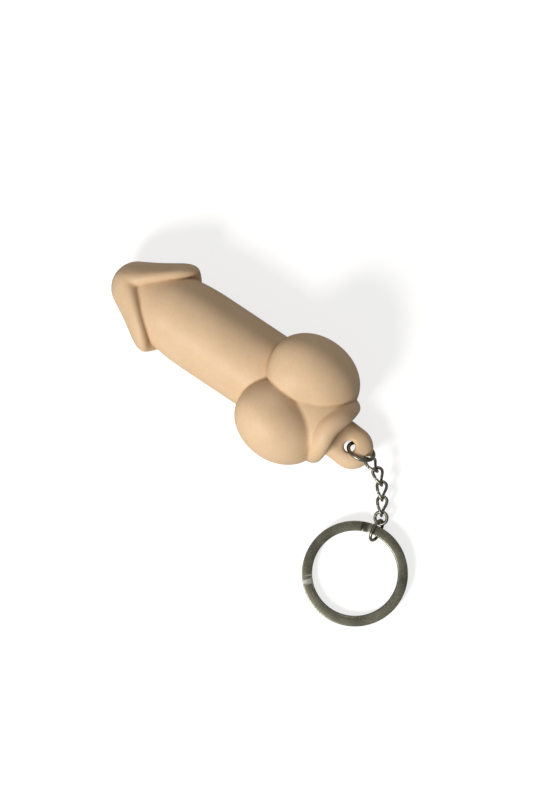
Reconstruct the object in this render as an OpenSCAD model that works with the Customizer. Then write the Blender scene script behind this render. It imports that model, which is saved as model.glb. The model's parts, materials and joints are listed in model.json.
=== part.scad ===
// Novelty figure keychain: a soft moulded figure with a flexing shaft, lying on its flattened
// back, and a jump ring, four curb links, a connector ring, an oval loop and a split ring.
// Millimetres, +Z up. The figure points along -X and its eyelet along +X.

/* [Figure] */
// Distance from the eyelet's hole to the tip
figure_len = 68.2; // [66:0.1:70]
// Radius of the shaft
shaft_r = 10; // [9.6:0.1:10.2]
// Height of the shaft's centre line above the flat back
axis_z = 8.5; // [8.2:0.1:8.8]
// Radius of the head at its rim
head_r = 11.5; // [11:0.1:12]
// Distance from the eyelet's hole to the place where the shaft flexes
flex_x = 25; // [24:0.5:26]
// Angle of the relaxed shaft from the figure's long axis
rest_angle = 3.8; // [0:0.1:5]

/* [Base] */
// Width of each of the two front lobes
lobe_w = 17.2; // [16:0.1:18]
// Length of each lobe
lobe_len = 21.6; // [21:0.1:23]
// Height of the lobes' centres
lobe_z = 16; // [15:0.1:17]
// Half the width of the rolled collar
collar_r = 9.6; // [9:0.1:10]
// Height of the collar's top
collar_top = 21; // [20:0.1:22]
// Radius of the eyelet's hole
hole_r = 1.6; // [1.5:0.05:1.7]
// Thickness of the eyelet
eyelet_t = 3.6; // [3.2:0.1:3.8]
// Height of the eyelet's middle plane
eyelet_z = 5.5; // [5:0.1:6]

/* [Chain] */
// Radius of the jump ring at the middle of its wire
jump_r = 3.15; // [3.1:0.05:3.3]
// Wire diameter of the jump ring
jump_wire = 0.9; // [0.8:0.05:0.95]
// Wire diameter of the links
link_wire = 0.75; // [0.7:0.05:0.85]
// Length of a link, between the middles of its end wires
link_len = 4.6; // [4.5:0.1:4.8]
// Width of a link, between the middles of its side wires
link_w = 2.25; // [2.2:0.05:2.4]
// Play between two threaded wires
play = 0.1; // [0.08:0.01:0.14]

/* [Split ring] */
// Outer diameter of the split ring
ring_d = 25; // [24:0.5:26]
// Radial width of its flat wire
band_w = 2.3; // [2.1:0.05:2.4]
// Thickness of one coil
coil_t = 0.9; // [0.8:0.05:0.95]

/* [Hidden] */
$fn = 64;
smooth = 40;

skin = "#E6C6A0";
steel = "#7A786C";

// Larger than anything that is cut
big = 160;

// Shaft and head
clearance = 0.3;
swing = 45;
pivot = [-flex_x, 1.7, axis_z];
tip_r = 6;
tip_shift = 0.6;
rim_r = 2.6;
rim_smooth = 16;
rim_tilt = 40;
rim_reach = figure_len - flex_x - 16.4;
tip_reach = figure_len - flex_x - tip_r - 0.2;

// Lobes, the core between them and the collar
lobe_r = lobe_w / 2;
lobe_x = -16.7;
lobe_y = [8.5, -6.4];
core_turn = -3;
core_len = flex_x - 7;
collar_x = -5.4;
collar_y = 0.4;
collar_wire = 2.3;
collar_z = collar_top / 2;
collar_fill = 2 * collar_wire - 0.4;

// Eyelet: broad and thick at the collar, narrower and thinner at its front
eyelet_back = -5;
eyelet_half = 3.2;
eyelet_front = 3.4;
front_half = 1.2;
back_r = eyelet_t / 2;
front_r = 1.3;
sink = 1.1;
sink_from = 0.7;

// Split ring
coil_gap = 0.1;
ring_r = ring_d / 2;
band_t = 2 * coil_t + coil_gap;
band_r = ring_r - band_w / 2;
lap = 8;
lap_at = 17;
cut = 2;
bite = 0.5;

// Chain: each piece hangs on the wire of the piece before it, at a pivot
jump_tilt = 35;
jump_turn = 14;
jump_x = jump_r - 0.2;
jump_play = 0.3;
hook_angle = 37;
loop_len = 5.1;
loop_w = 3.6;
connector_len = 2.9;
lens = [link_len, link_len, link_len, link_len, connector_len, loop_len];
headings = [-16, -34, -50, -55, -64, -79];
slopes = [23, 21, 18, 12, 6, 0];
rolls = [45, 10, 10, 8, 14, 120];
twists = [-125, -92, -92, -92];
hooks = [for (k = [0 : 5]) k == 0 ? (jump_wire + link_wire) / 2 + jump_play : link_wire + play];
arc_step = 15;
straight_steps = 6;
wire_sides = 12;

function along(k) = [cos(headings[k]) * cos(slopes[k]), sin(headings[k]) * cos(slopes[k]),
                     -sin(slopes[k])];
function turned(x, y, a) = [x * cos(a) - y * sin(a), x * sin(a) + y * cos(a)];

// The place on the jump ring's wire where the first link hangs
jump_hook = concat(turned(jump_x + jump_r * cos(hook_angle),
                          -jump_r * sin(hook_angle) * sin(jump_tilt), jump_turn),
                   [eyelet_z + jump_r * sin(hook_angle) * cos(jump_tilt)]);
function chain_pivot(k) = k == 0 ? jump_hook
                        : chain_pivot(k - 1) + (lens[k - 1] - hooks[k - 1]) * along(k - 1);

// The split ring rests on the table at its far side and on the loop at its near side
loop_mid = chain_pivot(5) + (loop_len / 2 - hooks[5]) * along(5);
band_lift = loop_mid[2] - band_t / 2;
ring_tilt = asin(band_lift / (ring_r + band_r));
ring_mid = loop_mid + band_r * cos(ring_tilt) * along(5);
ring_low = ring_r * sin(ring_tilt);

// The origin is under the middle of the whole keychain
mid_x = (ring_mid[0] + ring_r - figure_len) / 2;
mid_y = (lobe_y[0] + lobe_r + ring_mid[1] - ring_r) / 2;

module place() {
    translate([-mid_x, -mid_y, 0]) children();
}

module above_table() {
    intersection() {
        children();
        translate([-big, -big, 0]) cube(2 * big);
    }
}

// A round bar from the pivot, pointing along the shaft at an angle from its relaxed place
module shaft_bar(r, length, turn = 0) {
    translate(pivot) rotate([0, 0, rest_angle + turn]) rotate([0, -90, 0]) cylinder(h = length, r = r);
}

module head() {
    hull() {
        translate([-tip_reach, -tip_shift, 0]) sphere(r = tip_r, $fn = smooth);
        translate([-rim_reach, 0, 0]) rotate([0, -90 - rim_tilt, 0])
            rotate_extrude($fn = smooth) translate([head_r - rim_r, 0]) circle(r = rim_r, $fn = rim_smooth);
    }
}

// Cuts away what lies in front of the rim's slanting plane
module behind_rim() {
    difference() {
        children();
        translate(pivot) rotate([0, 0, rest_angle]) translate([-rim_reach, 0, 0])
            rotate([0, -rim_tilt, 0]) translate([-big, -big / 2, -big / 2]) cube(big);
    }
}

module shaft() {
    color(skin) place() above_table() union() {
        behind_rim() shaft_bar(shaft_r, rim_reach + head_r);
        translate(pivot) sphere(r = shaft_r);
        translate(pivot) rotate([0, 0, rest_angle]) head();
    }
}

// Everything that the shaft passes through while it flexes to both sides
module shaft_sweep() {
    r = shaft_r + clearance;
    translate(pivot) sphere(r = r);
    for (turn = [-swing, swing]) shaft_bar(r, figure_len, turn);
    translate([pivot[0], pivot[1], axis_z - r]) rotate([0, 0, 180 + rest_angle - swing])
        rotate_extrude(angle = 2 * swing) square([figure_len, 2 * r]);
}

module lobe(y) {
    half = (lobe_len - lobe_w) / 2;
    hull() for (side = [-half, half])
        translate([lobe_x + side, y, lobe_z]) sphere(r = lobe_r, $fn = smooth);
}

module collar() {
    translate([collar_x, collar_y, collar_z]) scale([1, 1, collar_z / collar_r]) rotate([0, 90, 0]) {
        rotate_extrude() translate([collar_r - collar_wire, 0]) circle(r = collar_wire);
        cylinder(h = collar_fill, r = collar_r - collar_wire, center = true);
    }
}

module eyelet() {
    hull() for (side = [-1, 1]) translate([0, 0, eyelet_z]) {
        for (x = [eyelet_back, 0])
            translate([x, side * eyelet_half, 0]) sphere(r = back_r, $fn = smooth);
        translate([eyelet_front, side * front_half, 0]) sphere(r = front_r, $fn = smooth);
    }
}

// The through hole, opened out at both faces
module eyelet_hole() {
    translate([0, 0, eyelet_z]) {
        cylinder(h = 2 * eyelet_t, r = hole_r, center = true);
        for (side = [0, 180]) rotate([side, 0, 0]) translate([0, 0, sink_from])
            cylinder(h = 2 * sink_from, r1 = hole_r, r2 = hole_r + sink);
    }
}

module base() {
    color(skin) place() above_table() difference() {
        union() {
            translate(pivot) rotate([0, 90, core_turn]) cylinder(h = core_len, r = shaft_r);
            for (y = lobe_y) lobe(y);
            collar();
            eyelet();
        }
        shaft_sweep();
        eyelet_hole();
    }
}

module ring(r, wire) {
    rotate_extrude() translate([r, 0]) circle(d = wire);
}

module jump_ring() {
    color(steel) place() rotate([0, 0, jump_turn]) translate([jump_x, 0, eyelet_z])
        rotate([90 + jump_tilt, 0, 0]) ring(jump_r, jump_wire);
}

// Puts a chain piece on its pivot, lying along its own heading, slope and roll
module chain_place(k) {
    place() translate(chain_pivot(k)) rotate([0, slopes[k], headings[k]]) rotate([rolls[k], 0, 0])
        translate([lens[k] / 2 - hooks[k], 0, 0]) children();
}

// A closed oval of wire, length and width taken at the middle of the wire
module oval(length, width, wire) {
    straight = length - width;
    for (side = [0, 180]) rotate([0, 0, side]) {
        translate([straight / 2, 0, 0]) rotate([0, 0, -90])
            rotate_extrude(angle = 180) translate([width / 2, 0]) circle(d = wire);
        translate([-straight / 2, width / 2, 0]) rotate([0, 90, 0]) cylinder(h = straight, d = wire);
    }
}

function unit(v) = v / norm(v);
function ease(t) = t * t * (3 - 2 * t);

// The middle line of a closed oval in its own plane
function oval_line(length, width) = let (s = (length - width) / 2, r = width / 2)
    [for (f = [1, -1]) each concat(
        [for (a = [-90 : arc_step : 90]) f * [s + r * cos(a), r * sin(a)]],
        [for (i = [1 : straight_steps - 1]) f * [s - 2 * s * i / straight_steps, r]])];

// A closed oval of wire whose plane turns about its length, from its start to its end
module curb_link(length, width, wire, twist) {
    flat = oval_line(length, width);
    n = len(flat);
    turns = [for (p = flat) twist * ease(p[0] / length + 0.5)];
    line = [for (i = [0 : n - 1]) [flat[i][0], flat[i][1] * cos(turns[i]), flat[i][1] * sin(turns[i])]];
    points = [for (i = [0 : n - 1]) let (
                  ahead = unit(line[(i + 1) % n] - line[(i + n - 1) % n]),
                  side = unit(cross(ahead, [0, -sin(turns[i]), cos(turns[i])])),
                  up = cross(side, ahead))
              for (j = [0 : wire_sides - 1]) let (a = j * 360 / wire_sides)
                  line[i] + wire / 2 * (cos(a) * side + sin(a) * up)];
    faces = [for (i = [0 : n - 1], j = [0 : wire_sides - 1]) let (
                 from = i * wire_sides,
                 to = (i + 1) % n * wire_sides,
                 next = (j + 1) % wire_sides)
             each [[from + j, to + next, to + j], [from + j, from + next, to + next]]];
    polyhedron(points, faces);
}

module chain_link(k) {
    color(steel) chain_place(k) curb_link(link_len, link_w, link_wire, twists[k]);
}

module connector_ring() {
    color(steel) chain_place(4) ring(connector_len / 2, link_wire);
}

module loop_ring() {
    color(steel) chain_place(5) oval(loop_len, loop_w, link_wire);
}

// A stretch of the split ring's band, a little wider than it, for cutting
module band_cut(from, span, low, high) {
    rotate([0, 0, from]) rotate_extrude(angle = span)
        translate([ring_r - band_w - 1, low]) square([band_w + 2, high - low]);
}

// Two stacked coils that join over the lap, with a cut end on each side of it
module double_coil() {
    middle = coil_t + coil_gap / 2;
    difference() {
        rotate_extrude() translate([ring_r - band_w, 0]) square([band_w, band_t]);
        band_cut(0, 360 - lap, coil_t, coil_t + coil_gap);
        band_cut(360 - lap - cut, cut + bite, -1, middle);
        band_cut(-bite, cut + bite, middle, band_t + 1);
    }
}

module split_ring() {
    color(steel) place() translate([ring_mid[0], ring_mid[1], ring_low])
        rotate([0, -ring_tilt, headings[5] + 180]) rotate([0, 0, lap_at]) double_coil();
}

base();
shaft();
jump_ring();
chain_link(0);  // chain_link_1
chain_link(1);  // chain_link_2
chain_link(2);  // chain_link_3
chain_link(3);  // chain_link_4
connector_ring();
loop_ring();
split_ring();
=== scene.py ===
import json
import math
import bpy
import numpy as np
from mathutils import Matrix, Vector


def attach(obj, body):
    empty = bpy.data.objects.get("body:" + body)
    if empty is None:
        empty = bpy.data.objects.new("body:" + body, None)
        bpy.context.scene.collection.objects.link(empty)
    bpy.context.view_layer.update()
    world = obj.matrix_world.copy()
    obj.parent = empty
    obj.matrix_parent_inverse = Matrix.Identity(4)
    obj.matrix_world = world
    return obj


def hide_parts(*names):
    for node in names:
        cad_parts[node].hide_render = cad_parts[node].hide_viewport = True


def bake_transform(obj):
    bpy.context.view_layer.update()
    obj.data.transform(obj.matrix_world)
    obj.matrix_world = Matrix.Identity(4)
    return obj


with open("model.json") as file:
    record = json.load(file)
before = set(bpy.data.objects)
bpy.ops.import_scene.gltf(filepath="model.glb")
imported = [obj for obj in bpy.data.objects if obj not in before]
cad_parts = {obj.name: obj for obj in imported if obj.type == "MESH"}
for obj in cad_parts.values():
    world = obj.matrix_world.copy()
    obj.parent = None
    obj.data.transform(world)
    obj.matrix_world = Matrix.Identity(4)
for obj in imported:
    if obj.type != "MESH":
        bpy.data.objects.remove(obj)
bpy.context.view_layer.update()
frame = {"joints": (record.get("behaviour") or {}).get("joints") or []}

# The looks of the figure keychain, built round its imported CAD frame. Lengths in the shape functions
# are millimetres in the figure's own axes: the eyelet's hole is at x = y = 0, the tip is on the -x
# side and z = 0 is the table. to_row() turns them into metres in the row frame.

MM = 0.001
JOINTS = {joint["name"]: joint for joint in frame["joints"]}
HOLE = Vector(JOINTS["jump_ring_swing"]["pos_m"])
FLEX = Vector(JOINTS["shaft_swing"]["pos_m"])
ORIGIN = np.array([HOLE.x, HOLE.y, 0.0])
PIVOT = (np.array(FLEX) - ORIGIN) / MM
EYELET_Z = HOLE.z / MM


def to_row(points):
    """Figure millimetres to row metres."""
    return np.asarray(points, float) * MM + ORIGIN


def pivot_of(name):
    """A joint's place in figure millimetres."""
    return (np.array(JOINTS[name]["pos_m"]) - ORIGIN) / MM


def upright_axis(name):
    """A joint's axis, turned over where it points down."""
    axis = np.array(JOINTS[name]["axis"], float)
    return unit(axis * np.sign(axis[2]))


def unit(v):
    return v / np.linalg.norm(v, axis=-1, keepdims=True)


# ---------------------------------------------------------------- camera, light and floor

PHOTO_TURN = math.radians(37.5)            # the figure's long axis falls to the right by this much
VIEW_HEIGHT = 0.187                        # what the picture covers from top to bottom
HOLE_IN_VIEW = Vector((0.0194, -0.0109))   # the eyelet's hole, from the picture's middle
FOCUS_HEIGHT = 0.010
LENS = 180.0
SENSOR = 36.0


def view_axes():
    right = Vector((math.cos(PHOTO_TURN), math.sin(PHOTO_TURN), 0))
    up = Vector((-math.sin(PHOTO_TURN), math.cos(PHOTO_TURN), 0))
    return right, up


def add_camera():
    right, up = view_axes()
    data = bpy.data.cameras.new("camera")
    data.lens = LENS
    data.sensor_width = SENSOR
    data.clip_start = 0.01
    distance = LENS * VIEW_HEIGHT / SENSOR
    middle = Vector((HOLE.x, HOLE.y, FOCUS_HEIGHT)) - right * HOLE_IN_VIEW.x - up * HOLE_IN_VIEW.y
    camera = bpy.data.objects.new("camera", data)
    camera.location = middle + Vector((0, 0, distance))
    camera.rotation_euler = (0, 0, PHOTO_TURN)
    bpy.context.scene.collection.objects.link(camera)
    bpy.context.scene.camera = camera
    return middle


def add_area_light(name, target, direction, distance, size, power, colour):
    """A round lamp that lies in the given direction from the target and faces it."""
    data = bpy.data.lights.new(name, "AREA")
    data.shape = "DISK"
    data.size = size
    data.energy = power
    data.color = colour
    light = bpy.data.objects.new(name, data)
    light.location = target + direction.normalized() * distance
    light.rotation_euler = direction.to_track_quat("Z", "Y").to_euler()
    bpy.context.scene.collection.objects.link(light)


def add_lights(target):
    right, up = view_axes()
    high = Vector((0, 0, 1))
    key = high * 1.1 - right * 0.8 - up * 0.9
    top = high + right * 0.1 + up * 0.75
    add_area_light("key", target, key, distance=0.6, size=0.2, power=3.8, colour=(1.0, 0.985, 0.955))
    add_area_light("top", target, top, distance=0.8, size=0.3, power=1.0, colour=(1.0, 0.97, 0.93))
    world = bpy.data.worlds.new("studio")
    world.use_nodes = True
    background = world.node_tree.nodes["Background"]
    background.inputs["Color"].default_value = (1, 1, 1, 1)
    background.inputs["Strength"].default_value = 0.2
    bpy.context.scene.world = world
    bpy.context.scene.view_settings.view_transform = "Standard"


def add_floor():
    """White paper that glows a little, so that it stays white. The glow lights nothing but the paper."""
    bpy.ops.mesh.primitive_plane_add(size=6, location=(0, 0, -0.0001))
    floor = bpy.context.object
    floor.name = "floor"
    material, _, shader = node_material("floor_paper")
    shader.inputs["Base Color"].default_value = (0.4, 0.4, 0.4, 1)
    shader.inputs["Roughness"].default_value = 0.9
    shader.inputs["Emission Color"].default_value = (1, 1, 1, 1)
    shader.inputs["Emission Strength"].default_value = 0.72
    floor.data.materials.append(material)
    receivers = bpy.data.collections.new("floor_only")
    receivers.objects.link(floor)
    floor.light_linking.receiver_collection = receivers


# ---------------------------------------------------------------- distance functions, in millimetres

def ease(t):
    """A smooth step from 0 to 1."""
    t = np.clip(t, 0, 1)
    return t * t * (3 - 2 * t)


def soft_min(a, b, k):
    """The union of two shapes, rounded by about k where they meet."""
    h = np.clip(0.5 + 0.5 * (b - a) / k, 0, 1)
    return b * (1 - h) + a * h - k * h * (1 - h)


def soft_max(a, b, k):
    """What two shapes share, rounded in the same way."""
    return -soft_min(-a, -b, k)


def ellipsoid(p, centre, radii):
    """Roughly the distance to an ellipsoid."""
    q = (p - centre) / radii
    near = np.linalg.norm(q, axis=-1)
    slope = np.linalg.norm(q / radii, axis=-1) + 1e-9
    return near * (near - 1) / slope


def round_cone(p, a, b, ra, rb):
    """Distance to the hull of two balls."""
    axis = b - a
    l2 = axis @ axis
    rr = ra - rb
    a2 = l2 - rr * rr
    pa = p - a
    y = pa @ axis
    z = y - l2
    x2 = ((pa * l2 - axis * y[..., None]) ** 2).sum(-1)
    y2 = y * y * l2
    z2 = z * z * l2
    k = np.sign(rr) * rr * rr * x2
    side = (np.sqrt(x2 * a2 / l2) + y * rr) / l2 - ra
    at_b = np.sqrt(x2 + z2) / l2 - rb
    at_a = np.sqrt(x2 + y2) / l2 - ra
    return np.where(np.sign(z) * a2 * z2 > k, at_b, np.where(np.sign(y) * a2 * y2 < k, at_a, side))


# ---------------------------------------------------------------- the figure's shape

# Shaft and head, measured along the shaft from the flex pivot
LEAN = math.radians(3.8)       # the relaxed shaft's angle from the long axis
SHAFT_R = 9.9
SHAFT_BACK = 18.0              # how far the shaft runs on inside the base
SHAFT_END_ROUND = 3.0
TIP = 43.3
NOSE_R = 6.2                   # ball at the tip
RIM_R = 11.4                   # half width of the head at its rim
RIM_BACK = 17.0                # the rim's widest place, behind the tip
NOTCH = 6.4                    # the rim's front notch, behind the tip
NOTCH_ROUND = 0.5              # how far the notch is rounded to each side
CORNER = 18.3                  # the rim's side corners, behind the tip
BACK_TURN = 7.0                # height over which the rim turns from its front to its plain back
BACK_SLANT = 0.15              # slant of the rim on the back
HEAD_ROUND = 4.2               # rounding of the rim's edge
LIP = 0.8                      # how far the rolled lip stands up
LIP_AT = 2.4                   # its middle, in front of the rim
NECK_INSET = 1.5               # how far the shaft lies inside the head's skin at the rim
NECK_SLOPE = 0.3               # how fast it comes out of it behind the rim
NECK_ROUND = 2.5
NOSE = (np.array([TIP - NOSE_R, 0, 0]), np.array([TIP - RIM_BACK, 0, 0]), NOSE_R, RIM_R)

# Base. A lobe is a main mass and a corner that fills it out beside the shaft, each a centre and radii
CREASE = 0.45                  # rounding in the creases
LEFT_LOBE = ((-16.6, 8.2, 15.6), (11.3, 8.9, 9.2)), ((-20.6, 4.0, 16.8), (5.2, 5.2, 6.0))
RIGHT_LOBE = ((-16.6, -6.2, 15.2), (10.9, 8.4, 9.0)), ((-20.8, -2.2, 16.4), (5.0, 4.8, 5.6))
LOBE_SLOPE = 0.2               # fall of the lobes towards the collar
LOBE_ROUND = 3.0               # rounding between a lobe's mass and its corner
WEB = (np.array([-14.8, 0.4, 10.4]), np.array([-8.5, 0.2, 9.4]), 10.8, 11.7)
WEB_HALF = 8.6
WEB_LOW = 5.0                  # the web's underside
WEB_SIDE_ROUND, WEB_LOW_ROUND, WEB_END_ROUND = 4.0, 3.0, 0.6
COLLAR_MID = (0.4, 11.2)       # the collar's middle, to the side and up
COLLAR_X = -5.5
COLLAR_SKEW = 0.03             # how much one side lies further back than the other
EYELET_DENT = (1.2, 4.5)       # how far the collar is set back at the eyelet, and over what half width
END_SWEEP = (0.6, 9.0)         # how far its ends are set back, at this distance to the side
COLLAR_R = 9.1
COLLAR_TUBE = 2.4
COLLAR_NARROW = 1.24           # how much narrower than high the collar is
PLUG_HALF = 1.5                # half thickness of the disc that closes the collar

# Eyelet
EYELET_R = 5.05                # half width of the eyelet
EYELET_FLAT = (-6.0, 0.6)      # its straight sides run between these
EYELET_ROLL = 3.2              # how far its rounding reaches in from the edge
EYELET_HALF = 2.2              # half its thickness
EYELET_Y = 0.1                 # the cushion's middle, to the side of the hole
EYELET_HOLE = 1.35
HOLE_ROUND = 0.9
BACK_ROUND = 2.0               # rounding round the flattened back


def along_shaft(p):
    """Points in the shaft's own axes: towards the tip, to the side, and up from its centre line."""
    d = p - PIVOT
    c, s = math.cos(LEAN), math.sin(LEAN)
    return np.stack([-d[..., 0] * c - d[..., 1] * s, d[..., 0] * s - d[..., 1] * c, d[..., 2]], -1)


def shaft_and_head(p):
    q = along_shaft(p)
    u, v, w = q[..., 0], q[..., 1], q[..., 2]
    tube = np.hypot(v, w) - SHAFT_R
    nose = round_cone(q, *NOSE)
    slope = (CORNER - NOTCH) / RIM_R
    side = np.hypot(v, NOTCH_ROUND)
    above = ease(0.5 + w / BACK_TURN)
    around = above * side + (1 - above) * (RIM_R + BACK_SLANT * (RIM_R - side))
    behind_rim = (TIP - NOTCH - slope * around - u) / math.hypot(1, slope)
    lip = LIP * np.exp(-((behind_rim / LIP_AT + 1) ** 2))
    head = soft_max(nose - lip, behind_rim, HEAD_ROUND)
    inner = np.stack([np.maximum(u, TIP - RIM_BACK), v, w], -1)
    taper = round_cone(inner, *NOSE) + NECK_INSET - NECK_SLOPE * np.maximum(TIP - RIM_BACK - u, 0)
    core = soft_max(tube, taper, NECK_ROUND)
    core = soft_max(core, -u - SHAFT_BACK, SHAFT_END_ROUND)
    return soft_min(core, head, CREASE)


def lobe(p, mass, corner):
    """A rounded mass that slopes down towards the collar, filled out beside the shaft."""
    still = 0 * p[..., 0]
    q = p + LOBE_SLOPE * np.stack([still, still, p[..., 0] - mass[0][0]], -1)
    return soft_min(ellipsoid(q, *mass), ellipsoid(p, *corner), LOBE_ROUND)


def collar_line(y):
    """How far along the figure the collar's roll lies: set back at the eyelet and at its two ends."""
    dent = EYELET_DENT[0] * np.exp(-((y / EYELET_DENT[1]) ** 2))
    sweep_back = END_SWEEP[0] * (y / END_SWEEP[1]) ** 4
    return COLLAR_SKEW * y + COLLAR_X - dent - sweep_back


def web(p):
    """The raised triangle between the lobes, which ends under the collar."""
    y = p[..., 1] - COLLAR_MID[0]
    body = soft_max(round_cone(p, *WEB), np.abs(y) - WEB_HALF, WEB_SIDE_ROUND)
    body = soft_max(body, WEB_LOW - p[..., 2], WEB_LOW_ROUND)
    return soft_max(body, p[..., 0] - collar_line(y) + PLUG_HALF, WEB_END_ROUND)


def collar(p):
    """A rolled band round the figure's end, and the disc inside it."""
    y, z = p[..., 1] - COLLAR_MID[0], p[..., 2] - COLLAR_MID[1]
    x = p[..., 0] - collar_line(y)
    outwards = np.hypot(COLLAR_NARROW * y, z) - COLLAR_R
    band = np.hypot(outwards, x) - COLLAR_TUBE
    plug = np.maximum(outwards, np.abs(x) - PLUG_HALF)
    return np.minimum(band, plug)


def eyelet(p):
    """A cushion with a round front, round the hole."""
    x = p[..., 0] - np.clip(p[..., 0], *EYELET_FLAT)
    from_edge = np.hypot(x, p[..., 1] - EYELET_Y) - EYELET_R
    rise = np.maximum(from_edge + EYELET_ROLL, 0) / EYELET_ROLL
    height = (p[..., 2] - EYELET_Z) / EYELET_HALF
    pad = (np.hypot(rise, height) - 1) * EYELET_HALF
    return soft_max(pad, EYELET_HOLE - np.hypot(p[..., 0], p[..., 1]), HOLE_ROUND)


def figure(p):
    """The whole moulding, with its back flattened on the table."""
    base = soft_min(soft_min(lobe(p, *LEFT_LOBE), lobe(p, *RIGHT_LOBE), CREASE), web(p), CREASE)
    body = soft_min(shaft_and_head(p), base, CREASE)
    body = soft_min(body, collar(p), CREASE)
    body = soft_min(body, eyelet(p), CREASE)
    return soft_max(body, -p[..., 2], BACK_ROUND)


# ---------------------------------------------------------------- a surface net round a distance function

def slope_of(shape, p, h=0.02):
    """The direction in which the distance grows."""
    steps = np.eye(3) * h
    return np.stack([shape(p + s) - shape(p - s) for s in steps], -1) / (2 * h)


def onto(shape, p, rounds=3):
    """Moves points on to the surface."""
    for _ in range(rounds):
        g = slope_of(shape, p)
        p = p - g * (shape(p) / np.maximum((g * g).sum(-1), 0.1))[..., None]
    return p


def surface_net(shape, low, high, step):
    """Quads round the zero of a distance function: one point in each grid cell that the surface crosses."""
    size = np.ceil((np.array(high) - low) / step).astype(int) + 1
    axes = [low[i] + step * np.arange(size[i]) for i in range(3)]
    field = np.empty(size)
    for i, x in enumerate(axes[0]):
        plane = np.stack(np.meshgrid([x], axes[1], axes[2], indexing="ij"), -1)
        field[i] = shape(plane.reshape(-1, 3)).reshape(size[1:])
    inside = field < 0
    cells = size - 1
    total = np.zeros((*cells, 3))
    count = np.zeros(cells)
    corners = np.array([[i, j, k] for i in (0, 1) for j in (0, 1) for k in (0, 1)])
    view = {tuple(c): tuple(slice(c[a], c[a] + cells[a]) for a in range(3)) for c in corners}
    for c in corners:
        for a in range(3):
            if c[a]:
                continue
            d = c.copy()
            d[a] = 1
            f0, f1 = field[view[tuple(c)]], field[view[tuple(d)]]
            crosses = (f0 < 0) != (f1 < 0)
            t = np.where(crosses, f0 / np.where(crosses, f0 - f1, 1), 0)
            point = c + t[..., None] * (d - c)
            total += point * crosses[..., None]
            count += crosses
    active = count > 0
    number = np.full(cells, -1)
    number[active] = np.arange(active.sum())
    base = np.argwhere(active)
    points = low + step * (base + total[active] / count[active][:, None])
    quads = []
    for a in range(3):
        b, c = (a + 1) % 3, (a + 2) % 3
        first = [slice(1, -1)] * 3
        first[a] = slice(0, -1)
        second = list(first)
        second[a] = slice(1, None)
        f, g = inside[tuple(first)], inside[tuple(second)]
        for flag, order in ((f & ~g, 1), (~f & g, -1)):
            at = np.argwhere(flag) + [0 if i == a else 1 for i in range(3)]
            ring = []
            for db, dc in ((1, 1), (0, 1), (0, 0), (1, 0)):
                cell = at.copy()
                cell[:, b] -= db
                cell[:, c] -= dc
                ring.append(number[tuple(cell.T)])
            quads.append(np.stack(ring[::order], -1))
    return points, np.concatenate(quads)


def relax(shape, points, quads, rounds):
    """Evens out the quads and puts their corners back on the surface."""
    edges = np.concatenate([quads[:, [i, (i + 1) % 4]] for i in range(4)])
    edges = np.concatenate([edges, edges[:, ::-1]])
    near = np.bincount(edges[:, 0], minlength=len(points))
    for _ in range(rounds):
        total = [np.bincount(edges[:, 0], points[edges[:, 1], i], len(points)) for i in range(3)]
        mean = np.stack(total, -1) / near[:, None]
        normal = unit(slope_of(shape, points))
        move = mean - points
        move -= normal * (move * normal).sum(-1)[:, None]
        points = onto(shape, points + 0.5 * move, 1)
    return onto(shape, points)


def new_mesh(name, points, faces, material):
    mesh = bpy.data.meshes.new(name)
    mesh.from_pydata(np.asarray(points).tolist(), [], faces)
    mesh.validate()
    mesh.polygons.foreach_set("use_smooth", [True] * len(mesh.polygons))
    mesh.materials.append(material)
    piece = bpy.data.objects.new(name, mesh)
    bpy.context.scene.collection.objects.link(piece)
    return piece


# ---------------------------------------------------------------- materials

def node_material(name):
    """A new material, its node tree and its shader."""
    material = bpy.data.materials.new(name)
    material.use_nodes = True
    tree = material.node_tree
    return material, tree, tree.nodes["Principled BSDF"]


def add_node(tree, kind, **values):
    """A new node; each value is set on its socket of that name, or else on the node itself."""
    node = tree.nodes.new(kind)
    for key, value in values.items():
        if key in node.inputs:
            node.inputs[key].default_value = value
        else:
            setattr(node, key, value)
    return node


def colour_ramp(tree, *stops):
    """A ramp node from (position, colour) pairs."""
    ramp = add_node(tree, "ShaderNodeValToRGB")
    elements = ramp.color_ramp.elements
    while len(elements) < len(stops):
        elements.new(0.5)
    for element, (position, colour) in zip(elements, stops):
        element.position = position
        element.color = (*colour, 1)
    return ramp


def mixed(tree, kind, factor, first, second):
    """The output of a colour mix; each input is a link's source or a value."""
    node = add_node(tree, "ShaderNodeMix", data_type="RGBA", blend_type=kind)
    for socket, value in ((node.inputs[0], factor), (node.inputs[6], first), (node.inputs[7], second)):
        if isinstance(value, bpy.types.NodeSocket):
            tree.links.new(value, socket)
        else:
            socket.default_value = value
    return node.outputs[2]


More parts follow.
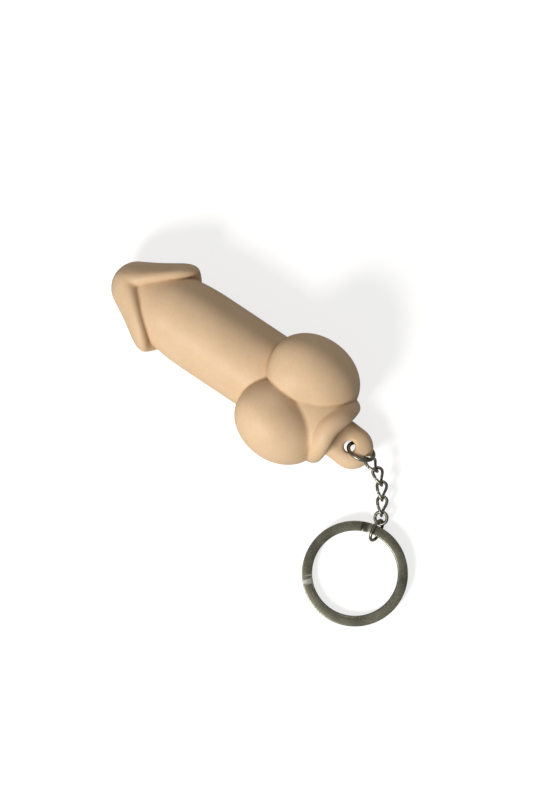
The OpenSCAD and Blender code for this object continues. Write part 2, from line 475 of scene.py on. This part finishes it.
def soft_skin():
    """Satin elastomer: a mottled tint with fine specks, painted shade that darkens the creases, and a fine
    grain.
    """
    material, tree, shader = node_material("soft_skin")
    link = tree.links.new
    place = add_node(tree, "ShaderNodeTexCoord")
    mottle = add_node(tree, "ShaderNodeTexNoise", Scale=95.0, Detail=4.0, Roughness=0.6)
    specks = add_node(tree, "ShaderNodeTexNoise", Scale=1400.0, Detail=2.0, Roughness=0.6)
    grain = add_node(tree, "ShaderNodeTexNoise", Scale=2600.0, Detail=3.0, Roughness=0.7)
    tint = colour_ramp(tree, (0.3, (0.64, 0.457, 0.284)), (0.7, (0.70, 0.507, 0.324)))
    speck = colour_ramp(tree, (0.25, (0.97, 0.955, 0.94)), (0.6, (1, 1, 1)))
    shape = add_node(tree, "ShaderNodeNewGeometry")
    # Painted shade: the colour is darkened in the creases, where the surface is hollow.
    crease_shade = colour_ramp(tree, (0.42, (0.55, 0.40, 0.30)), (0.495, (1, 1, 1)))
    bump = add_node(tree, "ShaderNodeBump", Strength=0.1, Distance=0.00005)
    rough = add_node(tree, "ShaderNodeMapRange")
    rough.inputs["To Min"].default_value = 0.44
    rough.inputs["To Max"].default_value = 0.58
    for texture in (mottle, specks, grain):
        link(place.outputs["Object"], texture.inputs["Vector"])
    link(mottle.outputs["Fac"], tint.inputs["Fac"])
    link(specks.outputs["Fac"], speck.inputs["Fac"])
    link(shape.outputs["Pointiness"], crease_shade.inputs["Fac"])
    spotted = mixed(tree, "MULTIPLY", 1.0, tint.outputs["Color"], speck.outputs["Color"])
    link(mixed(tree, "MULTIPLY", 1.0, spotted, crease_shade.outputs["Color"]), shader.inputs["Base Color"])
    link(mottle.outputs["Fac"], rough.inputs["Value"])
    link(rough.outputs["Result"], shader.inputs["Roughness"])
    link(grain.outputs["Fac"], bump.inputs["Height"])
    link(bump.outputs["Normal"], shader.inputs["Normal"])
    shader.inputs["Specular IOR Level"].default_value = 0.22
    shader.inputs["Subsurface Weight"].default_value = 0.15
    shader.inputs["Subsurface Radius"].default_value = (1.0, 0.45, 0.25)
    shader.inputs["Subsurface Scale"].default_value = 0.0012
    return material


def nickel():
    """Worn nickel plate: dull faces with fine grit and scratches, and brighter edges, partly rubbed wear
    and partly a painted highlight.
    """
    material, tree, shader = node_material("nickel")
    link = tree.links.new
    place = add_node(tree, "ShaderNodeTexCoord")
    stain = add_node(tree, "ShaderNodeTexNoise", Scale=160.0, Detail=3.0, Roughness=0.5)
    grit = add_node(tree, "ShaderNodeTexNoise", Scale=3000.0, Detail=3.0, Roughness=0.7)
    scratch = add_node(tree, "ShaderNodeTexNoise", Scale=900.0, Detail=2.0, Roughness=0.5, Distortion=4.0)
    face = colour_ramp(tree, (0.3, (0.16, 0.156, 0.12)), (0.7, (0.25, 0.245, 0.19)))
    fleck = colour_ramp(tree, (0.35, (0.72, 0.72, 0.70)), (0.65, (1.25, 1.25, 1.22)))
    line = colour_ramp(tree, (0.47, (1, 1, 1)), (0.5, (1.5, 1.5, 1.45)), (0.53, (1, 1, 1)))
    shape = add_node(tree, "ShaderNodeNewGeometry")
    # Brighter edges: partly rubbed wear, partly a painted highlight where the edges catch the light.
    edge = colour_ramp(tree, (0.52, (0, 0, 0)), (0.60, (1, 1, 1)))
    rough = add_node(tree, "ShaderNodeMapRange")
    rough.inputs["To Min"].default_value = 0.30
    rough.inputs["To Max"].default_value = 0.46
    bump = add_node(tree, "ShaderNodeBump", Strength=0.3, Distance=0.00003)
    for texture in (stain, grit, scratch):
        link(place.outputs["Object"], texture.inputs["Vector"])
    link(stain.outputs["Fac"], face.inputs["Fac"])
    link(grit.outputs["Fac"], fleck.inputs["Fac"])
    link(scratch.outputs["Fac"], line.inputs["Fac"])
    link(shape.outputs["Pointiness"], edge.inputs["Fac"])
    flecked = mixed(tree, "MULTIPLY", 1.0, face.outputs["Color"], fleck.outputs["Color"])
    lined = mixed(tree, "MULTIPLY", 1.0, flecked, line.outputs["Color"])
    rubbed_and_highlit = mixed(tree, "MIX", edge.outputs["Color"], lined, (0.62, 0.61, 0.54, 1))
    link(rubbed_and_highlit, shader.inputs["Base Color"])
    link(stain.outputs["Fac"], rough.inputs["Value"])
    link(rough.outputs["Result"], shader.inputs["Roughness"])
    link(grit.outputs["Fac"], bump.inputs["Height"])
    link(bump.outputs["Normal"], shader.inputs["Normal"])
    shader.inputs["Metallic"].default_value = 1.0
    return material


# ---------------------------------------------------------------- pieces

NET_STEP = 0.35
NET_LOW = np.array([-70.5, -17.0, -1.4])      # the grid's corners, outside the figure
NET_HIGH = np.array([7.5, 19.5, 27.5])
RELAX_ROUNDS = 4


def build_figure(material):
    points, quads = surface_net(figure, NET_LOW, NET_HIGH, NET_STEP)
    points = relax(figure, points, quads, RELAX_ROUNDS)
    skin = new_mesh("figure_skin", to_row(points), quads.tolist(), material)
    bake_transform(skin)
    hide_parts("base", "shaft")


# Chain and rings, in millimetres
JUMP_R = 3.15
JUMP_X = 2.95                 # the jump ring's middle, from the hole
JUMP_WIRE = 0.9
JUMP_TILT = math.radians(35)
JUMP_TURN = math.radians(14)
LINK_WIRE = 0.76
LINK_LEN, LINK_W = 4.6, 2.25
TWISTS = [math.radians(a) for a in (-125, -92, -92, -92)]
LINK_HOOK = 0.85              # a pivot lies this far in from the start of its piece
FIRST_HOOK = 1.125
CONNECTOR_LEN = 2.9
LOOP_LEN, LOOP_W = 5.1, 3.6
LOOP_ROLL = math.radians(120)
BUTT_GAP = 0.07               # the slit where a bent wire's two ends meet
WIRE_SIDES = 18
WIRE_STEPS = 120
WIRE_WORN = (0.86, 0.97)      # how much a wire shrinks at its cut end, and at the place beside it
BAND_WORN = (0.93, 0.985)     # the same for the split ring's band
LINK_FLAT = 0.86              # a link's wire is pressed to this much of its width
RING_R = 12.5
BAND_W = 2.3
COIL_T = 0.9
COIL_RISE = 1.0               # from one coil to the other
COIL_IN = 0.1                 # how much tighter the lower coil is wound
COIL_STEPS = 420
BAND_ROUND = 0.2              # rounding of the band's corners
RAMP = math.radians(10)       # where the wire steps from the upper coil to the lower one
CUT = math.radians(1.5)       # from the ramp to each cut end
LAP_AT = math.radians(17)     # the ramp's end, from the side that hangs on the loop


def sweep(line, side, section):
    """A closed tube along line: side is each outline's first direction, and section has their points."""
    ahead = unit(np.gradient(line, axis=0))
    side = unit(side - ahead * (side * ahead).sum(-1, keepdims=True))
    up = np.cross(ahead, side)
    points = line[:, None] + section[..., :1] * side[:, None] + section[..., 1:] * up[:, None]
    n, m = len(line), section.shape[1]
    i = np.arange(n - 1)[:, None] * m
    j = np.arange(m)[None]
    k = (j + 1) % m
    sides = np.stack([i + j, i + k, i + m + k, i + m + j], -1).reshape(-1, 4).tolist()
    ends = [list(range(m))[::-1], list(range((n - 1) * m, n * m))]
    return points.reshape(-1, 3), sides + ends


def tapered_ends(section, n, shrink):
    """The same outline for n places, smaller over the last few at each end, as a worn cut end is."""
    full = np.broadcast_to(section, (n, *np.shape(section))).copy()
    for step, scale in enumerate(shrink):
        full[step] *= scale
        full[n - 1 - step] *= scale
    return full


def oval_line(length, width, steps):
    """A flat oval that starts in the middle of one long side, and its outward directions."""
    s, r = (length - width) / 2, width / 2
    whole = 4 * s + 2 * math.pi * r
    t = np.linspace(BUTT_GAP / 2, whole - BUTT_GAP / 2, steps)
    arc = math.pi * r
    a1, a2 = (t - s) / r, (t - 3 * s - arc) / r
    stretch = [t < s, t < s + arc, t < 3 * s + arc, t < 3 * s + 2 * arc]
    x = np.select(stretch, [t, s + r * np.sin(a1), 2 * s + arc - t, -s - r * np.sin(a2)], t - whole)
    y = np.select(stretch, [-r + 0 * t, -r * np.cos(a1), r + 0 * t, r * np.cos(a2)], -r)
    return np.stack([x, y, 0 * x], -1), unit(np.stack([x - np.clip(x, -s, s), y, 0 * x], -1))


def frame_at(start, ahead, normal):
    """Rows that carry a flat piece's x, y and z to figure millimetres."""
    x = unit(ahead)
    z = unit(normal - x * (normal @ x))
    return start, np.stack([x, np.cross(z, x), z])


def wire_piece(name, where, length, width, hook, wire, material, twist=0.0, flat=1.0):
    """A wire oval with a slit, hung at a pivot, its plane turned by twist from its start to its end."""
    line, out = oval_line(length, width, WIRE_STEPS)
    turn = twist * ease(line[:, 0] / length + 0.5)
    c, s = np.cos(turn), np.sin(turn)
    line = np.stack([line[:, 0], line[:, 1] * c, line[:, 1] * s], -1)
    out = np.stack([out[:, 0], out[:, 1] * c, out[:, 1] * s], -1)
    around = np.linspace(0, 2 * math.pi, WIRE_SIDES, endpoint=False)
    section = np.stack([np.cos(around), flat * np.sin(around)], -1) * wire / 2
    section = tapered_ends(section, len(line), WIRE_WORN)
    points, faces = sweep(line, out, section)
    start, axes = where
    points = start + (points + [length / 2 - hook, 0, 0]) @ axes
    piece = new_mesh(name, to_row(points), faces, material)
    return piece


def build_jump_ring(material):
    c, s = math.cos(JUMP_TURN), math.sin(JUMP_TURN)
    ahead = np.array([c, s, 0])
    across = np.array([-s, c, 0])
    normal = -across * math.cos(JUMP_TILT) - np.array([0, 0, 1]) * math.sin(JUMP_TILT)
    where = frame_at(pivot_of("jump_ring_swing"), ahead, normal)
    width = 2 * JUMP_R
    ring = wire_piece("wire_jump_ring", where, width, width, JUMP_R - JUMP_X, JUMP_WIRE, material)
    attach(ring, "jump_ring")
    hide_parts("jump_ring")


def build_chain(material):
    names = [f"link_{k}_swing" for k in (1, 2, 3, 4)] + ["connector_swing", "loop_tilt"]
    places = [pivot_of(name) for name in names]
    for k, twist in enumerate(TWISTS):
        where = frame_at(places[k], places[k + 1] - places[k], upright_axis(names[k]))
        hook = LINK_HOOK if k else FIRST_HOOK
        link = wire_piece(f"wire_link_{k + 1}", where, LINK_LEN, LINK_W, hook, LINK_WIRE, material,
                          twist, LINK_FLAT)
        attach(link, f"link_{k + 1}")
        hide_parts(f"chain_link_{k + 1}")
    where = frame_at(places[4], places[5] - places[4], upright_axis(names[4]))
    connector = wire_piece("wire_connector", where, CONNECTOR_LEN, CONNECTOR_LEN, LINK_HOOK, LINK_WIRE,
                           material)
    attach(connector, "connector")
    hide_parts("connector_ring")
    ahead = unit((pivot_of("split_ring_turn") - places[5]) * [1, 1, 0])
    across = np.array([-ahead[1], ahead[0], 0])
    normal = -across * math.sin(LOOP_ROLL) + np.array([0, 0, 1]) * math.cos(LOOP_ROLL)
    where = frame_at(places[5], ahead, normal)
    loop = wire_piece("wire_loop", where, LOOP_LEN, LOOP_W, LINK_HOOK, LINK_WIRE, material)
    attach(loop, "loop")
    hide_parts("loop_ring")


def band_section(width, height, radius):
    """A flat wire's outline with rounded corners."""
    corner = np.linspace(0, math.pi / 2, 5)
    outline = []
    for quarter, (sx, sy) in enumerate(((1, 1), (-1, 1), (-1, -1), (1, -1))):
        a = corner + quarter * math.pi / 2
        outline.append(np.stack([sx * (width / 2 - radius) + radius * np.cos(a),
                                 sy * (height / 2 - radius) + radius * np.sin(a)], -1))
    return np.concatenate(outline)


def build_split_ring(material):
    """One flat wire in two turns, which steps from the upper coil to the lower one beside its cut ends."""
    turn = np.linspace(CUT, 4 * math.pi - RAMP - CUT, COIL_STEPS)
    step = ease((turn - 2 * math.pi + RAMP) / RAMP)
    radius = RING_R - BAND_W / 2 - COIL_IN * step
    height = COIL_T / 2 + COIL_RISE * (1 - step)
    out = np.stack([np.cos(turn), np.sin(turn), 0 * turn], -1)
    line = out * radius[:, None] + np.stack([0 * turn, 0 * turn, height], -1)
    section = tapered_ends(band_section(BAND_W, COIL_T, BAND_ROUND), len(turn), BAND_WORN)
    points, faces = sweep(line, out, section)
    middle = pivot_of("split_ring_turn")
    up = upright_axis("split_ring_turn")
    x = pivot_of("loop_tilt") - middle
    x = unit(x - up * (x @ up))
    y = np.cross(up, x)
    c, s = math.cos(LAP_AT), math.sin(LAP_AT)
    axes = np.stack([c * x + s * y, c * y - s * x, up])
    ring = new_mesh("wire_split_ring", to_row(middle + points @ axes), faces, material)
    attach(ring, "split_ring")
    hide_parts("split_ring")


def main():
    middle = add_camera()
    add_lights(middle)
    add_floor()
    steel = nickel()
    build_figure(soft_skin())
    build_jump_ring(steel)
    build_chain(steel)
    build_split_ring(steel)


main()
